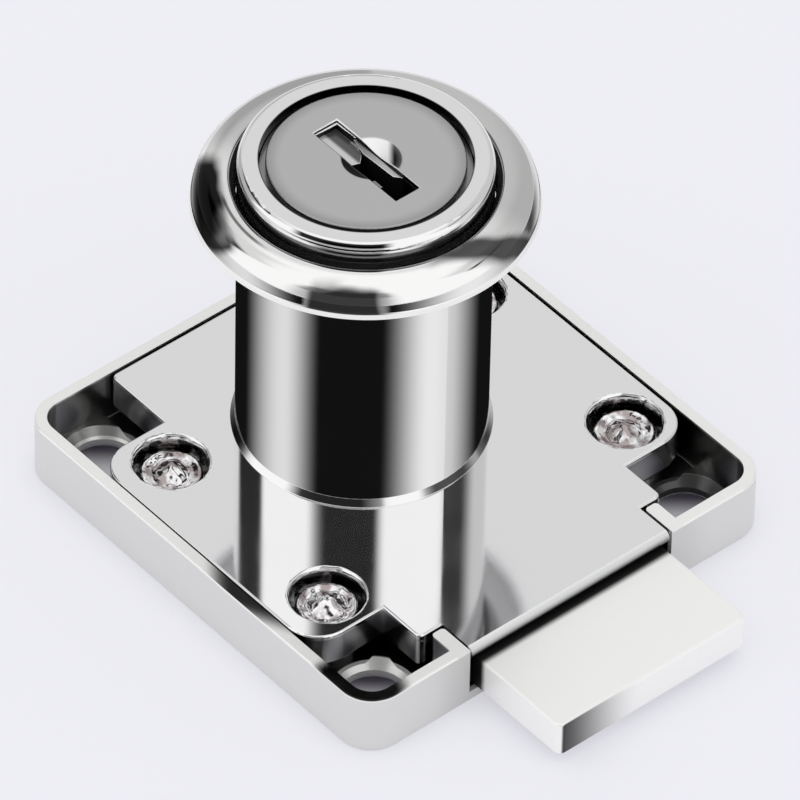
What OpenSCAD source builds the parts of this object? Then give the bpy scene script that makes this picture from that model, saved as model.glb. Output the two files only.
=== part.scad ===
// Surface-mounted cabinet and drawer lock with a key barrel, a sliding bolt and a trim ring.
// Millimetres. Z runs along the barrel towards the key, X is the way the bolt shoots,
// and the origin is on the barrel axis in the plane of the case rim, which bears on the door.

/* [Case] */
// length of the case along the bolt
case_x = 40.4; // [38:0.1:46]
// width of the case across the bolt
case_y = 39.4; // [38:0.1:46]
// how far the middle of the case lies from the barrel axis, towards the bolt
case_offset = 3.85; // [3:0.05:4.5]
// radius of the case corners seen from above
case_corner_r = 2.8; // [2:0.1:4]
// thickness of the case side walls
case_wall = 0.95; // [0.8:0.05:1.2]
// thickness of the case floor
floor_t = 1; // [0.8:0.05:1.4]
// rounding of the outer edge of the floor
floor_edge_r = 0.3; // [0.1:0.05:0.5]
// rounding of the outer edge of the rim
rim_edge_r = 0.15; // [0.05:0.01:0.3]
// height of the raised pad in each screw pocket
pad_h = 0.35; // [0.2:0.05:0.6]

/* [Screw holes] */
// distance of each screw hole from the end of the case, along the bolt
screw_inset_x = 4.45; // [4:0.05:5]
// distance of each screw hole from the side of the case, across the bolt
screw_inset_y = 4.5; // [4:0.05:5]
// radius of each screw hole
screw_hole_r = 2.6; // [1.8:0.05:2.6]
// radius of the dish around each screw hole at the pad
screw_dish_r = 3.4; // [3:0.05:3.5]
// depth of that dish
screw_dish_h = 0.7; // [0.4:0.05:0.9]

/* [Bolt opening] */
// gap between the bolt and the case wall on each side
notch_gap = 0.7; // [0.4:0.05:1]
// thickness of the wall returns on each side of the opening
return_t = 1.15; // [0.8:0.05:1.3]
// how far the wall returns reach in from the outer face of the case
return_len = 3.1; // [2:0.1:3.4]
// thickness of the guides that stand on the floor along the bolt
guide_t = 1; // [0.7:0.05:1.2]
// running gap between the bolt and each guide
guide_gap = 0.12; // [0.05:0.01:0.2]

/* [Cover and barrel] */
// thickness of the cover plate
cover_t = 1.1; // [0.9:0.05:1.2]
// how far the cover lies below the rim
cover_drop = 0.05; // [0:0.05:0.1]
// gap between the cover and the case walls
cover_gap = 0.2; // [0.1:0.05:0.3]
// width of plate left outside each rivet recess, along the bolt
wing_margin = 0.6; // [0.4:0.05:0.9]
// corner radius of the wings
wing_corner_r = 2.9; // [2:0.1:3.4]
// depth of the cover skirt below the rim
skirt_h = 2.9; // [2:0.1:3.2]
// thickness of the cover skirt
skirt_t = 1; // [0.8:0.05:1]
// gap between the skirt and the guides
skirt_gap = 0.58; // [0.3:0.02:0.8]
// gap between the cover and the wall returns
ear_gap = 0.33; // [0.2:0.01:0.5]
// rounding of the upper edges of the cover
cover_edge_r = 0.18; // [0.08:0.01:0.25]
// outer radius of the barrel
barrel_r = 9.5; // [9.5:0.05:9.6]
// height of the barrel above the rim plane
barrel_h = 26.1; // [26:0.1:32]
// wall of the barrel round the bore the plug turns in
barrel_wall = 1.6; // [1.4:0.05:1.7]
// rounding of the outer edge of the barrel mouth
mouth_edge_r = 0.55; // [0.3:0.05:0.7]
// how far the sloping collar at the foot stands out from the barrel
foot_step = 0.35; // [0.2:0.05:0.6]
// height of that collar above the rim plane
foot_h = 0.5; // [0.35:0.05:0.8]

/* [Rivets] */
// spacing of the rivets along the bolt
rivet_dx = 18.1; // [17.6:0.1:18.4]
// distance of each rivet from the side of the case
rivet_inset = 5.2; // [5:0.05:5.4]
// how far the whole set of rivets sits off the middle of the case, across the bolt
rivet_shift = 0.35; // [-0.4:0.05:0.4]
// radius of each rivet shank
rivet_r = 1.45; // [1.2:0.05:1.6]
// radius of each rivet head
rivet_head_r = 2.35; // [2:0.05:2.4]
// gap round each rivet head in its recess
rivet_gap = 0.5; // [0.4:0.05:0.7]
// chamfer of the edge of each recess
recess_chamfer = 0.2; // [0.1:0.05:0.3]
// depth of each recess below the cover
recess_h = 1.6; // [1.3:0.05:1.8]

/* [Bolt] */
// half width of the bolt
bolt_half = 9.1; // [8.8:0.05:9.2]
// thickness of the bolt
bolt_t = 3.05; // [2.4:0.05:3.1]
// gap under and over the bolt
bolt_gap = 0.05; // [0.03:0.01:0.1]
// how far the end of the bolt stays out of the case when it is drawn back
bolt_proud = 0.05; // [0:0.05:0.3]
// corner radius at the end of the bolt
bolt_corner_r = 0.6; // [0.5:0.1:1.5]
// rounding of the long edges of the bolt
bolt_edge_r = 0.2; // [0.1:0.05:0.4]
// room behind the bolt when it is drawn back
tail_gap = 1.5; // [0.5:0.1:2]

/* [Plug] */
// running clearance of the plug in its bore, on the radius
plug_clearance = 0.05; // [0.03:0.01:0.08]
// groove between the face of the plug and the bore
face_gap = 0.5; // [0.3:0.05:0.7]
// how far the face lies below the barrel mouth
face_drop = 0.15; // [0.1:0.05:0.4]
// thickness of the cap on the plug
cap_t = 0.5; // [0.4:0.05:0.7]
// length of the keyhole
keyhole_x = 9.4; // [8:0.1:9.8]
// width of the keyhole
keyhole_y = 2.25; // [1.8:0.05:2.6]
// radius of the dish that guides the key into the keyhole
dish_r = 2.3; // [2:0.05:2.6]
// width of the shoulder that the plug rests on
shoulder_w = 1.5; // [1.3:0.05:1.6]
// radius of the drive pin
drive_pin_r = 1.5; // [1.3:0.05:1.6]
// least wall round the drive pin in the tail of the plug
pin_wall = 0.3; // [0.2:0.05:0.5]
// width of the spring clip, from the bottom of its groove outwards
clip_w = 2.1; // [1.7:0.1:2.3]
// thickness of the spring clip
clip_t = 0.45; // [0.35:0.05:0.5]
// half width of the clip's mouth
clip_mouth = 2.6; // [2:0.1:4]

/* [Wafers] */
// number of wafers, each with its own spring
wafer_count = 6; // [6:1:6]
// depth of the first wafer below the barrel mouth
wafer_depth = 4.7; // [4.4:0.1:5.2]
// distance from one wafer to the next
wafer_pitch = 2.6; // [2.4:0.1:2.6]
// thickness of each wafer
wafer_t = 1.1; // [0.9:0.05:1.2]
// half width of each wafer
wafer_half = 3.5; // [3.2:0.1:3.6]
// sliding clearance of each wafer on each side
wafer_clearance = 0.05; // [0.03:0.01:0.08]
// how far a wafer can spring out past the plug
wafer_throw = 0.8; // [0.6:0.05:0.8]
// room left past a wafer that has sprung out
throw_gap = 0.15; // [0.1:0.01:0.2]
// coil radius of each wafer spring, to the outside of the wire
spring_r = 0.7; // [0.6:0.05:0.75]
// wire radius of each wafer spring
spring_wire_r = 0.13; // [0.1:0.01:0.15]

/* [Trim ring] */
// how far the trim ring stands out from the barrel
ring_width = 3.5; // [3:0.1:4.5]
// how far the top of the ring lies below the barrel mouth
ring_drop = 1.75; // [1.5:0.05:4]
// height of the trim ring
ring_h = 2.25; // [2:0.05:2.4]
// clearance between the ring and the barrel, on the radius
ring_clearance = 0.08; // [0.05:0.01:0.1]
// thickness of the sheet the ring is pressed from
ring_t = 0.6; // [0.5:0.05:0.7]
// distance of the crest of the dome from the barrel
crest_out = 1.1; // [0.9:0.05:1.3]
// radius of the crest of the dome
crest_r = 1.2; // [1:0.05:1.4]
// slope of the dome between the crest and its shoulder, in degrees
dome_slope = 12; // [6:1:20]
// radius of the shoulder of the dome
shoulder_r = 1.35; // [1.1:0.05:1.45]
// width of the funnel at the inner edge of the ring
funnel_w = 0.49; // [0.3:0.01:0.6]

/* [Hidden] */
$fn = 96;
eps = 0.01;
// reach of a cut that goes right through
far = 30;

// outline of the case
case_h = floor_t + 2 * bolt_gap + bolt_t + cover_t + cover_drop;
x_front = case_offset + case_x / 2;
x_back = case_offset - case_x / 2;
y_side = case_y / 2;
z_floor = -case_h;
z_inside = z_floor + floor_t;
z_mid_floor = z_floor + floor_t / 2;
z_pad = z_inside + pad_h;
inner_r = case_corner_r - case_wall;
inner_edge_r = 0.25;
screw_dx = case_x - 2 * screw_inset_x;
screw_dy = case_y - 2 * screw_inset_y;
notch_half = bolt_half + notch_gap;
x_return = x_front - return_len;

// cover
rivet_dy = case_y - 2 * rivet_inset;
recess_r = rivet_head_r + rivet_gap;
recess_edge_r = recess_r + recess_chamfer;
wing_half = rivet_dx / 2 + recess_edge_r + wing_margin;
waist_half = bolt_half + guide_gap + guide_t + skirt_gap + skirt_t;
z_cover = -cover_drop;
z_cover_under = z_cover - cover_t;
z_skirt = -skirt_h;
z_recess = z_cover - recess_h;
x_cover_back = x_back + case_wall + cover_gap;
x_skirt_in = x_cover_back + skirt_t;
y_wing = y_side - case_wall - cover_gap;
x_ear = x_return - ear_gap;
nose_half = notch_half - cover_gap;
x_nose_root = barrel_r + 0.5;
pad_from_x = wing_half + 0.4;
pad_from_y = waist_half + 0.5;
x_guide_start = x_skirt_in + 0.3;
x_guide_end = x_ear - 1.6;
guide_top_gap = 0.1;
boss_r = rivet_head_r + 0.65;
head_rim_h = 0.72;
head_cone_h = 1.1;
tray_sink_h = 0.8;

// barrel bore, from the mouth down
foot_r = barrel_r + foot_step;
bore_r = barrel_r - barrel_wall;
tail_r = bore_r - shoulder_w;
neck_r = tail_r + plug_clearance;
z_shoulder = 3.4;
z_neck = 2.6;
clip_groove_r = tail_r - 0.9;
clip_r = clip_groove_r + clip_w;
clip_pocket_r = clip_r + 0.6;
groove_half = wafer_half + 0.3;
z_groove = wafer_z(wafer_count) - 1.4;
groove_len = wafer_z(1) - wafer_z(wafer_count) + 2.8;

// bolt, with the slot the drive pin works in
crank_r = tail_r - drive_pin_r - pin_wall;
z_bolt = z_inside + bolt_gap;
z_bolt_top = z_bolt + bolt_t;
x_bolt_tip = x_front + 2 * crank_r + bolt_proud;
x_bolt_tail = x_skirt_in + tail_gap + 2 * crank_r;
// a crank moves the bolt on a cosine; this much play lets it also follow a steady ratio
crank_play = 0.2105 * crank_r;
slot_half_x = drive_pin_r + crank_play + 0.08;
slot_half_y = crank_r + drive_pin_r + 0.3;
slot_corner_r = 1.2;

// plug
plug_r = bore_r - plug_clearance;
face_r = bore_r - face_gap;
z_plug_foot = z_shoulder + 0.05;
z_cap = barrel_h - face_drop - cap_t;
z_plug_step = z_cap - 0.25;
z_tail = z_cover_under + 0.1;
z_keyway = 4.6;
ward_x = 1.1;
ward_w = 1.5;
ward_h = 0.5;
dish_rim = 0.45;
dish_depth = 1.2;
z_clip_groove = 1.95;
clip_play = 0.1;
pin_fit = 0.01;
z_pin_top = 1.7;
z_pin_end = z_inside + 0.2;

// wafers
slot_t = wafer_t + 2 * wafer_clearance;
slot_half = wafer_half + wafer_clearance;
lug_w = 2 * spring_r + 0.3;
lug_half = wafer_half + lug_w;
lug_x = 1.4;
lug_gap = 0.1;
spring_y = wafer_half + lug_w / 2;
spring_len = 4.65;
spring_gap = 0.01;
pocket_t = 2 * spring_r + 0.2;
window_gap = 0.3;
window_x = 0.7;
cuts = [0.3, 0.7, 0.5, 0.9, 0.4, 0.8];

// trim ring, measured from its underside
ring_r = barrel_r + ring_width;
ring_z = barrel_h - ring_drop - ring_h;
ring_bore = barrel_r + ring_clearance;
ring_wall_r = ring_bore + ring_t;
crest_x = barrel_r + crest_out;
crest_z = ring_h - crest_r;
dome_turn = 90 - dome_slope;
shoulder_x = ring_r - shoulder_r;
shoulder_z = crest_z + (crest_r - shoulder_r) * sin(dome_turn)
    - tan(dome_slope) * (shoulder_x - crest_x + (shoulder_r - crest_r) * cos(dome_turn));
funnel_turn = 180 - acos((crest_out - funnel_w) / crest_r);

function wafer_z(n) = barrel_h - wafer_depth - (n - 1) * wafer_pitch;
// odd wafers spring out towards the bolt, even wafers away from it
function wafer_turn(n) = n % 2 == 1 ? 0 : 180;
// points along an arc about (x, z), from one turn to another
function arc(x, z, r, from, to, steps) =
    [for (i = [0:steps]) let (a = from + (to - from) * i / steps) [x + r * cos(a), z + r * sin(a)]];

// Upright slab with rounded corners seen from above.
module slab(x0, x1, y0, y1, z0, z1, r) {
    translate([x0 + r, y0, z0])
        cube([x1 - x0 - 2 * r, y1 - y0, z1 - z0]);
    translate([x0, y0 + r, z0])
        cube([x1 - x0, y1 - y0 - 2 * r, z1 - z0]);
    for (x = [x0 + r, x1 - r]) {
        for (y = [y0 + r, y1 - r]) {
            translate([x, y, z0])
                cylinder(r = r, h = z1 - z0);
        }
    }
}

// Flat shape with rounded corners, lower radius a and upper radius b.
module soft_square(w, z0, z1, a, b) {
    translate([-w, z0 + a])
        square([2 * w, z1 - z0 - a - b]);
    translate([-w + a, z0])
        square([2 * (w - a), z1 - z0 - b]);
    translate([-w + b, z0 + a])
        square([2 * (w - b), z1 - z0 - a]);
    for (s = [-1, 1]) {
        translate([s * (w - a), z0 + a])
            circle(r = a, $fn = 48);
        translate([s * (w - b), z1 - b])
            circle(r = b, $fn = 48);
    }
}

// Half of that shape, to be spun round a corner.
module soft_corner(r, z0, z1, a, b) {
    translate([0, z0 + a])
        square([r, z1 - z0 - a - b]);
    translate([0, z0])
        square([r - a, z1 - z0 - b]);
    translate([0, z0 + a])
        square([r - b, z1 - z0 - a]);
    translate([r - a, z0 + a])
        circle(r = a, $fn = 48);
    translate([r - b, z1 - b])
        circle(r = b, $fn = 48);
}

// Slab with rounded corners and with rounded lower (a) and upper (b) edges.
module soft_slab(x0, x1, y0, y1, z0, z1, r, a, b) {
    xm = (x0 + x1) / 2;
    ym = (y0 + y1) / 2;
    translate([x0 + r, ym, 0])
        rotate([90, 0, 90])
            linear_extrude(height = x1 - x0 - 2 * r)
                soft_square((y1 - y0) / 2, z0, z1, a, b);
    translate([xm, y1 - r, 0])
        rotate([90, 0, 0])
            linear_extrude(height = y1 - y0 - 2 * r)
                soft_square((x1 - x0) / 2, z0, z1, a, b);
    for (x = [x0 + r, x1 - r]) {
        for (y = [y0 + r, y1 - r]) {
            translate([x, y, 0])
                rotate_extrude()
                    soft_corner(r, z0, z1, a, b);
        }
    }
}

module at_screws() {
    for (sx = [-1, 1]) {
        for (sy = [-1, 1]) {
            translate([case_offset + sx * screw_dx / 2, sy * screw_dy / 2, 0])
                children();
        }
    }
}

module at_rivets() {
    for (sx = [-1, 1]) {
        for (sy = [-1, 1]) {
            translate([case_offset + sx * rivet_dx / 2, rivet_shift + sy * rivet_dy / 2, 0])
                children();
        }
    }
}

// Shallow tray with the bolt opening, its wall returns, bolt guides and rivet bosses.
module base_tray() {
    color("silver")
        difference() {
            union() {
                difference() {
                    soft_slab(x_back, x_front, -y_side, y_side, z_floor, 0, case_corner_r,
                        floor_edge_r, rim_edge_r);
                    soft_slab(x_back + case_wall, x_front - case_wall, -y_side + case_wall,
                        y_side - case_wall, z_inside, far, inner_r, inner_edge_r, inner_edge_r);
                    translate([x_front - return_len, -notch_half, z_inside])
                        cube([far, 2 * notch_half, far]);
                }
                screw_pads();
                for (s = [-1, 1]) {
                    wall_return(s);
                    bolt_guide(s);
                }
                // bosses that carry the cover at the rivets
                at_rivets()
                    translate([0, 0, z_mid_floor])
                        cylinder(r = boss_r, h = z_skirt - z_mid_floor);
            }
            at_screws()
                translate([0, 0, z_floor - 1])
                    cylinder(r = screw_hole_r, h = case_h);
            at_screws()
                translate([0, 0, z_pad - screw_dish_h])
                    cylinder(r1 = screw_hole_r, r2 = screw_dish_r, h = screw_dish_h);
            at_screws()
                translate([0, 0, z_pad])
                    cylinder(r = screw_dish_r, h = pad_h);
            at_rivets()
                translate([0, 0, z_floor - 1])
                    cylinder(r = rivet_r + pin_fit, h = case_h);
            at_rivets()
                translate([0, 0, z_floor])
                    cylinder(r1 = rivet_head_r + pin_fit, r2 = rivet_r + pin_fit, h = tray_sink_h);
        }
}

// Raised pads round the screw holes, in the four corners of the floor.
module screw_pads() {
    margin = case_wall / 2;
    difference() {
        slab(x_back + margin, x_front - margin, -y_side + margin, y_side - margin, z_mid_floor, z_pad,
            case_corner_r - margin);
        translate([case_offset - pad_from_x, -y_side, z_floor])
            cube([2 * pad_from_x, case_y, case_h]);
        translate([x_back, -pad_from_y, z_floor])
            cube([case_x, 2 * pad_from_y, case_h]);
    }
}

// Inward wall beside the bolt opening, on side s.
module wall_return(s) {
    y = s > 0 ? notch_half : -notch_half - return_t;
    slab(x_return, x_front - 0.3, y, y + return_t, z_mid_floor, 0, 0.3);
    translate([x_front - return_len / 2, y, z_mid_floor])
        cube([return_len / 2, return_t, -z_mid_floor]);
}

// Low wall on the floor that guides the bolt, on side s.
module bolt_guide(s) {
    y = s > 0 ? bolt_half + guide_gap : -bolt_half - guide_gap - guide_t;
    translate([x_guide_start, y, z_mid_floor])
        cube([x_guide_end - x_guide_start, guide_t, z_cover_under - guide_top_gap - z_mid_floor]);
}

// Outer form of the barrel: sloping collar, shaft and rounded mouth.
module barrel_body() {
    rotate_extrude() {
        polygon([[0, z_cover_under], [foot_r, z_cover_under], [foot_r, z_cover], [barrel_r, foot_h],
            [0, foot_h]]);
        translate([0, z_cover_under])
            square([barrel_r, barrel_h - mouth_edge_r - z_cover_under]);
        translate([0, z_cover_under])
            square([barrel_r - mouth_edge_r, barrel_h - z_cover_under]);
        translate([barrel_r - mouth_edge_r, barrel_h - mouth_edge_r])
            circle(r = mouth_edge_r, $fn = 48);
    }
}

// Skirt below the side edge of the cover, from x0 to x1 on side s.
module side_skirt(s, x0, x1) {
    y = s > 0 ? waist_half - skirt_t : -waist_half;
    slab(x0, x1, y, y + skirt_t, z_skirt, z_cover_under + cover_t / 2, skirt_t * 0.45);
}

// Cover plate cast in one piece with the barrel.
module front_casting() {
    color("gainsboro")
        difference() {
            union() {
                // middle of the cover
                soft_slab(x_cover_back, x_ear, -waist_half, waist_half, z_cover_under, z_cover, 0.5,
                    0.08, cover_edge_r);
                // wings
                soft_slab(case_offset - wing_half, case_offset + wing_half, -y_wing, y_wing, z_skirt, z_cover,
                    wing_corner_r, 0.15, cover_edge_r);
                // nose over the bolt, with a full round front edge
                translate([x_nose_root, -nose_half, z_cover_under])
                    cube([x_front - cover_t / 2 - x_nose_root, 2 * nose_half, cover_t]);
                translate([x_front - cover_t / 2, nose_half, z_cover - cover_t / 2])
                    rotate([90, 0, 0])
                        cylinder(r = cover_t / 2, h = 2 * nose_half, $fn = 64);
                // skirt along the back edge and round the screw pockets
                slab(x_cover_back, x_skirt_in + 1, -waist_half, waist_half, z_skirt, z_cover_under + cover_t / 2,
                    0.5);
                for (s = [-1, 1]) {
                    side_skirt(s, x_cover_back, case_offset);
                    side_skirt(s, case_offset, x_ear);
                }
                barrel_body();
            }
            // clears the bolt and its guides under the plate
            translate([x_skirt_in, -waist_half + skirt_t, z_skirt - 1])
                cube([far + x_ear, 2 * (waist_half - skirt_t), z_cover_under - z_skirt + 1]);
            // bore for the plug, neck, and pocket for the clip
            translate([0, 0, z_shoulder])
                cylinder(r = bore_r, h = barrel_h);
            translate([0, 0, z_neck - 1])
                cylinder(r = neck_r, h = z_shoulder - z_neck + 2);
            translate([0, 0, z_cover_under - 1])
                cylinder(r = clip_pocket_r, h = z_neck - z_cover_under + 1);
            // grooves that catch the wafers with the key out
            intersection() {
                translate([0, 0, z_groove])
                    cylinder(r = bore_r + wafer_throw + throw_gap, h = groove_len);
                translate([-barrel_r, -groove_half, z_groove])
                    cube([2 * barrel_r, 2 * groove_half, groove_len]);
            }
            at_rivets()
                translate([0, 0, z_recess])
                    cylinder(r = recess_r, h = far);
            at_rivets()
                translate([0, 0, z_cover - recess_chamfer])
                    cylinder(r1 = recess_r, r2 = recess_edge_r, h = recess_chamfer + eps);
            at_rivets()
                translate([0, 0, z_skirt - 1])
                    cylinder(r = rivet_r + pin_fit, h = far);
        }
}

// Four solid rivets: countersunk below, with a formed head in the cover recess.
module case_rivets() {
    color("lightgray")
        at_rivets()
            rotate_extrude() {
                translate([0, z_floor])
                    square([rivet_r, z_recess - z_floor]);
                polygon([[0, z_floor], [rivet_head_r, z_floor], [rivet_r, z_floor + tray_sink_h],
                    [0, z_floor + tray_sink_h]]);
                polygon([
                    [0, z_recess],
                    [rivet_head_r, z_recess],
                    [rivet_head_r, z_recess + head_rim_h - 0.17],
                    [rivet_head_r - 0.2, z_recess + head_rim_h],
                    [rivet_head_r - 0.55, z_recess + head_rim_h],
                    [rivet_head_r - 0.95, z_recess + head_rim_h - 0.32],
                    [rivet_head_r - 1.25, z_recess + head_rim_h - 0.3],
                    [0.25, z_recess + head_cone_h - 0.05],
                    [0, z_recess + head_cone_h]
                ]);
            }
}

// Flat sliding bolt with a cross slot for the drive pin.
module deadbolt() {
    color("whitesmoke")
        difference() {
            soft_slab(x_bolt_tail, x_bolt_tip, -bolt_half, bolt_half, z_bolt, z_bolt_top, bolt_corner_r,
                bolt_edge_r, bolt_edge_r);
            slab(crank_r - slot_half_x, crank_r + slot_half_x, -slot_half_y, slot_half_y, z_bolt - 1,
                z_bolt_top + 1, slot_corner_r);
        }
}

// Turning plug: body, face step, and tail, with the keyway and the wafer slots.
module cylinder_plug() {
    clip_groove_h = clip_t + clip_play;
    color("goldenrod")
        difference() {
            rotate_extrude() {
                translate([0, z_tail])
                    square([clip_groove_r, z_cap - z_tail]);
                translate([0, z_tail])
                    square([tail_r, z_clip_groove - z_tail]);
                translate([0, z_clip_groove + clip_groove_h])
                    square([tail_r, z_plug_foot - z_clip_groove - clip_groove_h + eps]);
                translate([0, z_plug_foot])
                    square([plug_r, z_plug_step - z_plug_foot]);
                translate([0, z_plug_foot])
                    square([face_r, z_cap - z_plug_foot]);
            }
            // keyway, with a ward left standing on each side
            difference() {
                translate([-keyhole_x / 2, -keyhole_y / 2, z_keyway])
                    cube([keyhole_x, keyhole_y, barrel_h]);
                translate([-ward_x - ward_w, keyhole_y / 2 - ward_h, z_keyway - 1])
                    cube([ward_w, 2 * ward_h, far]);
                translate([ward_x, -keyhole_y / 2 - ward_h, z_keyway - 1])
                    cube([ward_w, 2 * ward_h, far]);
            }
            // dish under the cap
            translate([0, 0, z_cap - dish_depth])
                cylinder(r1 = 1, r2 = dish_r - dish_rim, h = dish_depth + eps);
            for (n = [1:wafer_count]) {
                translate([0, 0, wafer_z(n)])
                    rotate([0, 0, wafer_turn(n)]) {
                        translate([-plug_r - 1, -slot_half, -slot_t / 2])
                            cube([2 * plug_r + 2, 2 * slot_half, slot_t]);
                        translate([-spring_len - spring_gap, -lug_half - lug_gap, -pocket_t / 2])
                            cube([spring_len + lug_x + wafer_throw + 2 * lug_gap, lug_w + 2 * lug_gap,
                                pocket_t]);
                    }
            }
            translate([crank_r, 0, z_tail - 1])
                cylinder(r = drive_pin_r + pin_fit, h = z_pin_top - z_tail + 1 + pin_fit, $fn = 64);
        }
}

// Thin cap on the face of the plug, with the keyhole and a conical dish.
module plug_cap() {
    color("darkgray")
        difference() {
            translate([0, 0, z_cap])
                cylinder(r = face_r, h = cap_t);
            translate([-keyhole_x / 2, -keyhole_y / 2, z_cap - 1])
                cube([keyhole_x, keyhole_y, cap_t + 2]);
            translate([0, 0, z_cap - eps])
                cylinder(r1 = dish_r - dish_rim, r2 = dish_r, h = cap_t + 2 * eps);
        }
}

// Pin pressed into the tail of the plug, off its axis, which drives the bolt.
module drive_pin() {
    color("dimgray")
        translate([crank_r, 0, z_pin_end])
            cylinder(r = drive_pin_r, h = z_pin_top - z_pin_end, $fn = 64);
}

// Spring clip in the groove of the tail, which keeps the plug in the barrel.
module retaining_clip() {
    color("slategray")
        difference() {
            translate([0, 0, z_clip_groove + clip_play / 2])
                cylinder(r = clip_r, h = clip_t);
            translate([0, 0, z_clip_groove - 1])
                cylinder(r = clip_groove_r + 0.05, h = clip_t + 2);
            translate([0, -clip_mouth, z_clip_groove - 1])
                cube([clip_r + 1, 2 * clip_mouth, clip_t + 2]);
        }
}

// One wafer: rounded ends, a window for the key and a lug for its spring.
module wafer(n) {
    color("khaki")
        translate([0, 0, wafer_z(n)])
            rotate([0, 0, wafer_turn(n)])
                difference() {
                    union() {
                        intersection() {
                            translate([0, 0, -wafer_t / 2])
                                cylinder(r = plug_r, h = wafer_t);
                            translate([-plug_r - 1, -wafer_half, -wafer_t])
                                cube([2 * plug_r + 2, 2 * wafer_half, 2 * wafer_t]);
                        }
                        translate([0, -lug_half, -wafer_t / 2])
                            cube([lug_x, 2 * lug_w, wafer_t]);
                    }
                    translate([-keyhole_x / 2 + cuts[n - 1], -keyhole_y / 2 - window_gap, -wafer_t])
                        cube([keyhole_x - cuts[n - 1] + window_x, keyhole_y + 2 * window_gap, 2 * wafer_t]);
                }
}

module wafer_1() {
    wafer(1);
}

module wafer_2() {
    wafer(2);
}

module wafer_3() {
    wafer(3);
}

module wafer_4() {
    wafer(4);
}

module wafer_5() {
    wafer(5);
}

module wafer_6() {
    wafer(6);
}

// One coil spring as a single unbroken tube, from the pocket end to the wafer lug.
module wafer_spring(n) {
    turns = 6;
    steps = 12;
    sides = 6;
    count = turns * steps;
    mean_r = spring_r - spring_wire_r;
    run = spring_len - 2 * spring_wire_r - 2 * spring_gap;
    rise = atan2(run / turns, 2 * PI * mean_r);
    points = [
        for (i = [0:count])
            for (j = [0:sides - 1])
                let (
                    a = 360 * i / steps,
                    b = 360 * j / sides,
                    out = mean_r + spring_wire_r * cos(b),
                    up = spring_wire_r * sin(b)
                )
                [
                    -spring_len + spring_wire_r + spring_gap + run * i / count + up * cos(rise),
                    -spring_y + out * cos(a) + up * sin(rise) * sin(a),
                    out * sin(a) - up * sin(rise) * cos(a)
                ]
    ];
    walls = [
        for (i = [0:count - 1])
            for (j = [0:sides - 1])
                for (half = [0:1])
                    let (
                        p = i * sides + j,
                        q = i * sides + (j + 1) % sides
                    )
                    half == 0 ? [p, q, p + sides] : [q, q + sides, p + sides]
    ];
    first_end = [for (j = [sides - 1:-1:0]) j];
    last_end = [for (j = [0:sides - 1]) count * sides + j];
    color("lightsteelblue")
        translate([0, 0, wafer_z(n)])
            rotate([0, 0, wafer_turn(n)])
                polyhedron(points = points, faces = concat(walls, [first_end, last_end]));
}

module wafer_spring_1() {
    wafer_spring(1);
}

module wafer_spring_2() {
    wafer_spring(2);
}

module wafer_spring_3() {
    wafer_spring(3);
}

module wafer_spring_4() {
    wafer_spring(4);
}

module wafer_spring_5() {
    wafer_spring(5);
}

module wafer_spring_6() {
    wafer_spring(6);
}

// Domed ring pressed from sheet, which slides on the barrel and covers the edge of the hole.
module trim_ring() {
    color("gainsboro")
        translate([0, 0, ring_z])
            rotate_extrude()
                polygon(concat(
                    [[ring_bore, 0], [ring_bore, ring_h - funnel_w]],
                    arc(crest_x, crest_z, crest_r, funnel_turn, dome_turn, 8),
                    arc(shoulder_x, shoulder_z, shoulder_r, dome_turn, 0, 7),
                    [[ring_r, 0], [ring_r - ring_t, 0]],
                    arc(shoulder_x, shoulder_z, shoulder_r - ring_t, 0, dome_turn, 4),
                    arc(crest_x, crest_z, crest_r - ring_t, dome_turn, 90, 3),
                    [[ring_wall_r, crest_z + crest_r - ring_t], [ring_wall_r, 0]]
                ));
}

base_tray();
front_casting();
case_rivets();
deadbolt();
cylinder_plug();
plug_cap();
drive_pin();
retaining_clip();
wafer_1();
wafer_2();
wafer_3();
wafer_4();
wafer_5();
wafer_6();
wafer_spring_1();
wafer_spring_2();
wafer_spring_3();
wafer_spring_4();
wafer_spring_5();
wafer_spring_6();
trim_ring();
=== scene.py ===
"""Looks of a chrome-plated cabinet lock: finishes, formed rivet heads, a smooth trim ring, studio and camera.

Objects are in metres. Profiles, and places on the part in the finishes, are in millimetres like the part's source.
The origin is on the barrel axis in the plane of the case rim, Z runs along the barrel towards the key and X is the
way the bolt shoots.
"""

import math

import bmesh
import bpy
from mathutils import Matrix, Vector, noise


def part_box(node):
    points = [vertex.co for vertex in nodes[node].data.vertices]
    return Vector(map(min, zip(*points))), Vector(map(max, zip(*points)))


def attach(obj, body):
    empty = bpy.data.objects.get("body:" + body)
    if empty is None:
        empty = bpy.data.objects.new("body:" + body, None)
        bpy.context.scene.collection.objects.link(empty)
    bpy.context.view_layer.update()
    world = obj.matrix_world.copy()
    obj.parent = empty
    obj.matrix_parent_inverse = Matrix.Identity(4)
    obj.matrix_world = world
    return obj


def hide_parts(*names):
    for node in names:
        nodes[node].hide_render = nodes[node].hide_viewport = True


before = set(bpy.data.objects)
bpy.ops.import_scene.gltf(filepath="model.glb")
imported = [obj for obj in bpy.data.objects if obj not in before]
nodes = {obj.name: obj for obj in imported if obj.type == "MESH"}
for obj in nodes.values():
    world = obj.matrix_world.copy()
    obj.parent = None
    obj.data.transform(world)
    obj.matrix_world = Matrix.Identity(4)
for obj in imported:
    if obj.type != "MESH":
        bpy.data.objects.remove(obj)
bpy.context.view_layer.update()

MM = 0.001

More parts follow.
